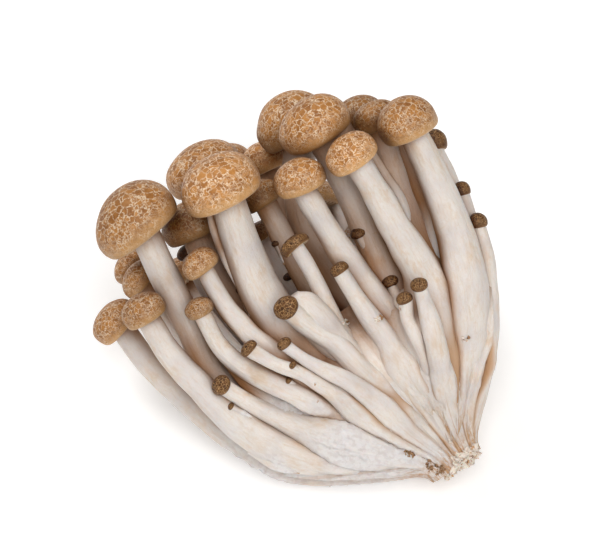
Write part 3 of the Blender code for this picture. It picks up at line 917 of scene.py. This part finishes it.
def build_web():
    """The web's rows, each running across its front and home across its back."""
    # its front lies below the stems' own, and deeper where it thins out and at the bottom
    reaches = np.linspace(WEB_FROM, WEB_TO, WEB_ROWS)
    angles, over, under, front_fill, back_fill = (
        np.array(part) for part in zip(*(web_row(reach) for reach in reaches)))
    rng = np.random.default_rng(77)
    ridges = np.zeros_like(angles)
    for waves in (42, 66, 96):
        drift = np.cumsum(rng.normal(0, 0.16, WEB_ROWS))[:, None]
        ridges += np.sin(waves * angles + rng.uniform(0, 6.28) + drift)
    sink = 0.45 + 1.4 * smooth_step(20.0, 34.0, reaches) + 7.0 * smooth_step(34.0, 50.0, reaches)
    lowest = smooth_step(FUZZ_FROM, FUZZ_FULL, angles)
    sink = sink[:, None] + 1.6 * lowest
    fuzz = 0.3 * lowest * np.abs(Waves(78, 2.0, 20)(np.stack(
        [reaches[:, None] * np.cos(angles), reaches[:, None] * np.sin(angles), over], axis=-1)))
    over = soft_rows(over) - sink + 0.13 * ridges + fuzz
    under = soft_rows(under) + 0.6 - 0.13 * ridges
    thickest = np.interp(reaches, *zip(*WEB_THICKNESS))[:, None]
    under = np.minimum(np.maximum(under, over - thickest), over - 1.5)
    under[[0, -1]] = over[[0, -1]]
    angles = np.hstack([angles, angles[:, ::-1]])
    depths = np.hstack([over, under[:, ::-1]])
    fill = np.hstack([front_fill, back_fill[:, ::-1]])
    rows = in_row(np.dstack([on_arc(reaches[:, None], angles), depths]))
    outwards = np.broadcast_to(-reaches[:, None], depths.shape)
    straight = np.stack([angles * 22.0, depths, outwards], -1)
    # painted shade: darker where the web lies deep among the stems, only on its outer rows and not
    # on its woolly bottom
    free = finer(round_and_along(openness(rows[::4, ::8]), 1, 1), *depths.shape)
    lowest = np.hstack([lowest, lowest[:, ::-1]])
    shade = smooth_step(0.8, 0.2, free) * smooth_step(26.0, 44.0, reaches)[:, None] * (1 - lowest)
    folds = np.hstack([ridges, ridges[:, ::-1]])
    # painted shade: ochre where the web filled a deep valley and between its ridges
    crease_shade = 0.16 * smooth_step(0.6, 3.0, fill) + 0.3 * smooth_step(0.5, 1.8, -folds)
    root = np.broadcast_to(smooth_step(16.0, 6.0, reaches)[:, None], depths.shape)
    return rows, dict(straight=straight, crease_shade=crease_shade, shade=shade, root=root, fuzz=0.9 * lowest)


def soft_rows(field):
    """A field smoothed a little both ways, neither of which wraps."""
    for _ in range(6):
        for axis in (0, 1):
            wide = np.pad(field, [(1, 1) if k == axis else (0, 0) for k in (0, 1)], mode="edge")
            ahead = np.take(wide, range(2, wide.shape[axis]), axis)
            behind = np.take(wide, range(wide.shape[axis] - 2), axis)
            field = 0.5 * field + 0.25 * (ahead + behind)
    return field


rows, values = build_web()
settle(grid_mesh("stem_web", rows, [FLESH], values, close_ends=False), "stem_flesh")
surfaces.append(rows)
SURFACE = surface_tree()

# ---------- buds, slivers and scars


class Sprout:
    """A small stem that needs no CAD node: its line runs over the surface of its neighbours."""

    def __init__(self, path, radii, facing, seed):
        self.line, self.radii, _ = resample(path, radii, LINE_STEPS)
        self.facing, self.seed = facing, seed

    def surface(self, steps, turns, in_shade=0.6):
        angle = full_turn(LINE_TURNS)
        rng = np.random.default_rng(self.seed)
        lobes = sum(0.06 * np.sin(waves * angle + rng.uniform(0, 6.28) + 2 * LINE_SHARE)
                    for waves in (2, 3))
        skin = self.radii[:, None] * (1 + lobes)
        return dressed(self, skin, np.zeros_like(skin), steps, turns, in_shade)


class BudCap:
    """The cap of a bud, with the same measures as a CAD cap."""

    def __init__(self, rim, facing, radius, height, seed):
        self.rim, self.facing, self.seed = rim, facing, seed
        self.radius, self.height, self.tone = radius, height, 1.0


# Buds too small for a solid of their own. On the fan: where the cap's middle is and where the stem
# comes out from between its neighbours (x, h, and how far it stands off their surface), the cap's
# radius and height, and the way it faces (degrees round the fan, degrees tipped to the front).
BUDS = (
    ((-31.5, 64.6, -6.0), (-27.0, 55.0, -8.0), (3.1, 3.4), (118, 10)),
    ((-25.6, 54.8, -0.6), (-19.0, 44.5, -1.2), (2.0, 2.0), (118, 25)),
    ((-17.7, 42.8, -0.2), (-14.8, 36.5, -0.6), (2.0, 2.1), (112, 35)),
    ((-41.8, 22.3, 0.3), (-36.0, 17.6, -0.4), (1.05, 1.1), (138, 25)),
    ((-42.8, 18.5, 0.3), (-35.5, 13.2, -0.4), (0.95, 1.0), (140, 25)),
    ((-57.0, 12.0, 0.2), (-52.0, 9.0, -0.4), (1.0, 1.0), (150, 20)),
    ((-43.0, 44.0, -0.8), (-40.5, 39.5, -1.0), (1.6, 1.7), (120, 25)),
    ((-55.6, 40.3, -0.6), (-52.0, 34.5, -1.0), (1.3, 1.4), (125, 20)),
    ((-46.0, 52.3, -0.6), (-43.5, 47.0, -1.0), (1.25, 1.4), (118, 15)),
)

# Slivers of stem squeezed between the others: points on the fan (x, h, height off the surface) and
# the radius at each.
SLIVERS = (
    (((-40.0, -4.2, -1.6), (-46.0, -2.8, -0.8), (-52.8, 0.9, -1.8)), (0.9, 1.3, 0.8)),
)

# Stems that stand behind the others and show only through the gaps: points on the fan (x, h and the
# depth itself) and the radius at each.
BEHIND = (
    (((-5.0, 40.0, 0.5), (-7.0, 57.0, 1.2), (-10.5, 67.0, 1.2), (-14.5, 78.0, 0.5)),
     (1.8, 2.4, 2.4, 1.8)),
    (((-22.0, 62.0, -5.0), (-26.0, 74.0, -6.0), (-30.0, 82.0, -7.0)), (2.6, 2.8, 2.6)),
    (((-54.0, 34.0, -5.0), (-62.0, 46.0, -7.0), (-67.0, 58.0, -8.0)), (2.6, 3.2, 2.6)),
    (((-12.0, 56.0, 2.2), (-15.2, 63.5, 3.4), (-18.8, 69.2, 3.6), (-23.4, 76.5, 2.5)),
     (0.9, 1.3, 1.3, 1.1)),
    (((-34.0, 8.0, 7.5), (-44.0, 11.5, 8.2), (-51.0, 16.0, 8.4), (-57.5, 23.0, 7.8)),
     (2.2, 2.5, 2.5, 1.8)),
    (((-54.6, 40.0, 8.0), (-58.6, 48.5, 8.8), (-61.0, 55.0, 9.4), (-62.4, 60.5, 9.6)),
     (0.6, 1.0, 1.1, 0.8)),
)

# A stem's broad, swollen base that has grown together with its neighbour, given in the same way.
BULGES = (
    (((-22.5, 18.6, 7.6), (-29.2, 25.4, 11.6), (-33.8, 29.8, 12.4), (-37.2, 34.0, 13.0),
      (-39.8, 37.0, 14.2), (-41.8, 38.8, 15.0)), (2.2, 3.6, 4.5, 4.6, 3.9, 2.0)),
)

# Where a bud has broken off and left a ragged, browned scar: x and h on the fan, and its size.
SCARS = ((-28.7, 32.4, 1.0), (-20.4, 34.0, 1.3), (0.8, 28.6, 0.9))


def on_surface(place):
    """The place at x and h on the fan, so far off what is built there."""
    x, h, off = place
    return in_row((x, h, front_depth(x, h) + off))


BUD_CAP_SEED, BUD_STEM_SEED, SLIVER_SEED = 500, 520, 560

for k, (middle, root, (radius, height), faces) in enumerate(BUDS):
    turn, tip = (math.radians(a) for a in faces)
    facing = np.array([math.cos(turn) * math.cos(tip), math.sin(turn) * math.cos(tip),
                       math.sin(tip)]) @ FAN
    rim = on_surface(middle) - facing * 0.4 * height
    cap = BudCap(rim, facing, radius, height, BUD_CAP_SEED + k)
    root = on_surface(root)
    bend = rim - facing * 0.35 * np.linalg.norm(rim - root)
    neck = 0.62 * radius
    sprout = Sprout([root, 0.35 * root + 0.65 * bend, rim + facing * 0.1 * height],
                    (neck * 0.9, neck * 1.25, neck), facing, BUD_STEM_SEED + k)
    rows, values = sprout.surface(40, 32)
    stem_piece = grid_mesh(f"bud_{k + 1:02d}_stem", rows, [FLESH], values)
    rows, values, finish = cap_surface(cap, neck, 48, 14, 4, 12)
    cap_piece = grid_mesh(f"bud_{k + 1:02d}_cap", rows, [PIN_SKIN, GILLS], values, finish)
    settle(joined(f"bud_{k + 1:02d}", [stem_piece, cap_piece]), "pin_flesh")

for k, (places, radii) in enumerate(SLIVERS):
    path = [on_surface(place) for place in places]
    sprout = Sprout(path, radii, unit(path[-1] - path[-2]), SLIVER_SEED + k)
    rows, values = sprout.surface(60, 32)
    settle(grid_mesh(f"sliver_{k + 1:02d}", rows, [FLESH], values), "stem_flesh")

for name, stems_there, in_shade, seed in (("stem_behind", BEHIND, 1.0, 580),
                                          ("stem_bulge", BULGES, 0.3, 590)):
    for k, (places, radii) in enumerate(stems_there):
        path = in_row(places)
        sprout = Sprout(path, radii, unit(path[-1] - path[-2]), seed + k)
        rows, values = sprout.surface(60, 40, in_shade)
        settle(grid_mesh(f"{name}_{k + 1:02d}", rows, [FLESH], values), "stem_flesh")


# ---------- the foot

# Where the crumbs between the stems have browned, their dark brown also painted shade in the
# crevices: x and h on the fan, and how far they spread.
RUST_AND_SHADE_SPOTS = ((-13.6, 0.6, 0.7), (-8.6, -2.2, 1.1), (-5.5, -4.0, 0.9))

# On the fan, the way along the cut face and the way up the foot from it.
ALONG_CUT, UP_FOOT = np.array([0.82, 0.57, 0]), np.array([-0.57, 0.82, 0])

# Lumps of torn tissue on the cut face: how far along it each lies and its depth.
CUT_LUMPS = ((-3.2, 1.2), (-1.4, 2.4), (0.6, 2.0), (2.4, 2.4), (3.9, 0.8), (-2.4, -1.4),
             (0.4, -2.0), (2.8, -1.4))


def crumb(name, middle, size, seed, rough=0.22, flat=(1.0, 1.0, 1.0), steps=22, turns=36,
          finish=CRUMB):
    """A lumpy bit of tissue."""
    lumps, grit = Waves(seed, size * 1.3, 12), Waves(seed + 1, size * 0.45, 16)
    lat = np.linspace(0.04, math.pi - 0.04, steps)[:, None]
    lon = full_turn(turns)[None, :]
    ball = np.stack([np.sin(lat) * np.cos(lon), np.sin(lat) * np.sin(lon),
                     np.broadcast_to(-np.cos(lat), (steps, turns))], axis=-1)
    spots = ball * size
    shaped = spots * (1 + rough * 0.5 * lumps(spots) + rough * 0.28 * grit(spots))[..., None]
    rows = middle + (shaped * flat) @ FAN
    rng = np.random.default_rng(seed)
    return grid_mesh(name, rows, [finish], dict(straight=spots + rng.uniform(-99, 99, 3)))


rng = np.random.default_rng(11)
bits = [crumb("foot_core", in_row(CUT_MIDDLE + np.array([-3.0, 4.0, -2.6])), 5.2, 31, 0.12,
              flat=(1.0, 1.05, 0.8))]
for k, (along, depth) in enumerate(CUT_LUMPS):
    place = CUT_MIDDLE + ALONG_CUT * along + UP_FOOT * 0.7 + np.array([0, 0, depth])
    bits.append(crumb(f"foot_lump_{k}", in_row(place), 1.8, 40 + 2 * k, 0.5, flat=(1.0, 0.85, 1.0),
                      steps=48, turns=72))
for k in range(110):
    turn, out = rng.uniform(0, 2 * math.pi), math.sqrt(rng.uniform(0, 1))
    place = (CUT_MIDDLE + ALONG_CUT * 5.0 * out * math.cos(turn)
             + np.array([0, 0, 4.4]) * out * math.sin(turn) + UP_FOOT * rng.uniform(-1.2, 1.4))
    bits.append(crumb(f"foot_bit_{k:02d}", in_row(place), rng.uniform(0.35, 0.85), 60 + k, 0.5,
                      steps=10, turns=14))
for k, (x, h, spread) in enumerate(RUST_AND_SHADE_SPOTS):
    for j in range(14):
        # of three places the deepest, so that the crumbs collect in the crevices
        tries = np.array([x, h]) + rng.normal(0, spread, (3, 2))
        place = min(([*at, front_depth(*at)] for at in tries), key=lambda at: at[2])
        place = np.array(place) + [0, 0, rng.uniform(-0.3, 0.1)]
        bits.append(crumb(f"foot_rust_and_shade_{k}_{j:02d}", in_row(place), rng.uniform(0.22, 0.5),
                          160 + 20 * k + j, 0.6, steps=9, turns=12, finish=RUST_AND_SHADE))
for k, (x, h, size) in enumerate(SCARS):
    for j in range(5):
        place = np.array([x, h, 0]) + np.array([*rng.normal(0, 0.4 * size, 2), 0])
        place[2] = front_depth(place[0], place[1]) + rng.uniform(-0.25, 0.1)
        bits.append(crumb(f"scar_{k}_{j}", in_row(place), rng.uniform(0.3, 0.55) * size,
                          260 + 20 * k + j, 0.6, steps=9, turns=12, finish=CRUMB if j else RUST_AND_SHADE))
foot = joined("foot_tissue_torn", bits)
settle(foot, "foot_tissue", "foot")

# ---------- table, light and camera


TABLE_HALF_WIDTH = 1.5
TABLE_DROP = 0.0001
TABLE_GLOW = 0.22
SKY_STRENGTH = 0.22

# The lamps, in metres and watts: name, place, width, power and colour. Both aim at LAMPS_AIM.
LAMPS_AIM = (0, 0, 0.03)
LAMPS = (
    ("key", (0.12, -0.45, 0.72), 0.8, 5.7, (1.0, 0.985, 0.96)),
    ("top", (-0.36, 0.36, 0.76), 0.6, 3.6, (1.0, 0.99, 0.98)),
)


def floor_material():
    g = Graph("table_white", 0.9, Emission_Color=(1.0, 1.0, 1.0, 1.0),
              Emission_Strength=TABLE_GLOW, Specular_IOR_Level=0.1)
    g.colour(rgb(250, 250, 250))
    return g.material


def make_floor():
    size = TABLE_HALF_WIDTH
    mesh = bpy.data.meshes.new("table_top")
    mesh.from_pydata([(-size, -size, 0), (size, -size, 0), (size, size, 0), (-size, size, 0)], [],
                     [(0, 1, 2, 3)])
    mesh.materials.append(floor_material())
    made = placed("table_top", mesh)
    made.location = (0, 0, -TABLE_DROP)


def soft_light(name, place, width, power, colour):
    lamp = bpy.data.lights.new(name, "AREA")
    lamp.shape = "DISK"
    lamp.size = width
    lamp.energy = power
    lamp.color = colour
    made = placed(name, lamp)
    made.location = place
    made.rotation_mode = "QUATERNION"
    made.rotation_quaternion = (Vector(LAMPS_AIM) - Vector(place)).to_track_quat("-Z", "Y")


make_floor()
for lamp in LAMPS:
    soft_light(*lamp)

scene = bpy.context.scene
scene.world = bpy.data.worlds.new("studio")
scene.world.use_nodes = True
sky = scene.world.node_tree.nodes["Background"]
sky.inputs["Color"].default_value = (0.96, 0.98, 1.0, 1.0)
sky.inputs["Strength"].default_value = SKY_STRENGTH
scene.view_settings.view_transform = "Standard"

# What the camera takes in, on the fan in millimetres, and its lens and sensor.
PICTURE_WIDTH = 153.0
PICTURE_MIDDLE = (-38.5, 44.75, 0.0)
LENS = 180.0
SENSOR = 36.0
camera = placed("camera", bpy.data.cameras.new("camera"))
camera.data.lens = LENS
camera.data.sensor_width = SENSOR
camera.data.clip_end = 10.0
away = PICTURE_WIDTH * LENS / SENSOR
camera.location = Vector(in_row(PICTURE_MIDDLE) + FRONT * away) * MM
camera.rotation_mode = "QUATERNION"
camera.rotation_quaternion = Vector(-FRONT).to_track_quat("-Z", "Y")
scene.camera = camera
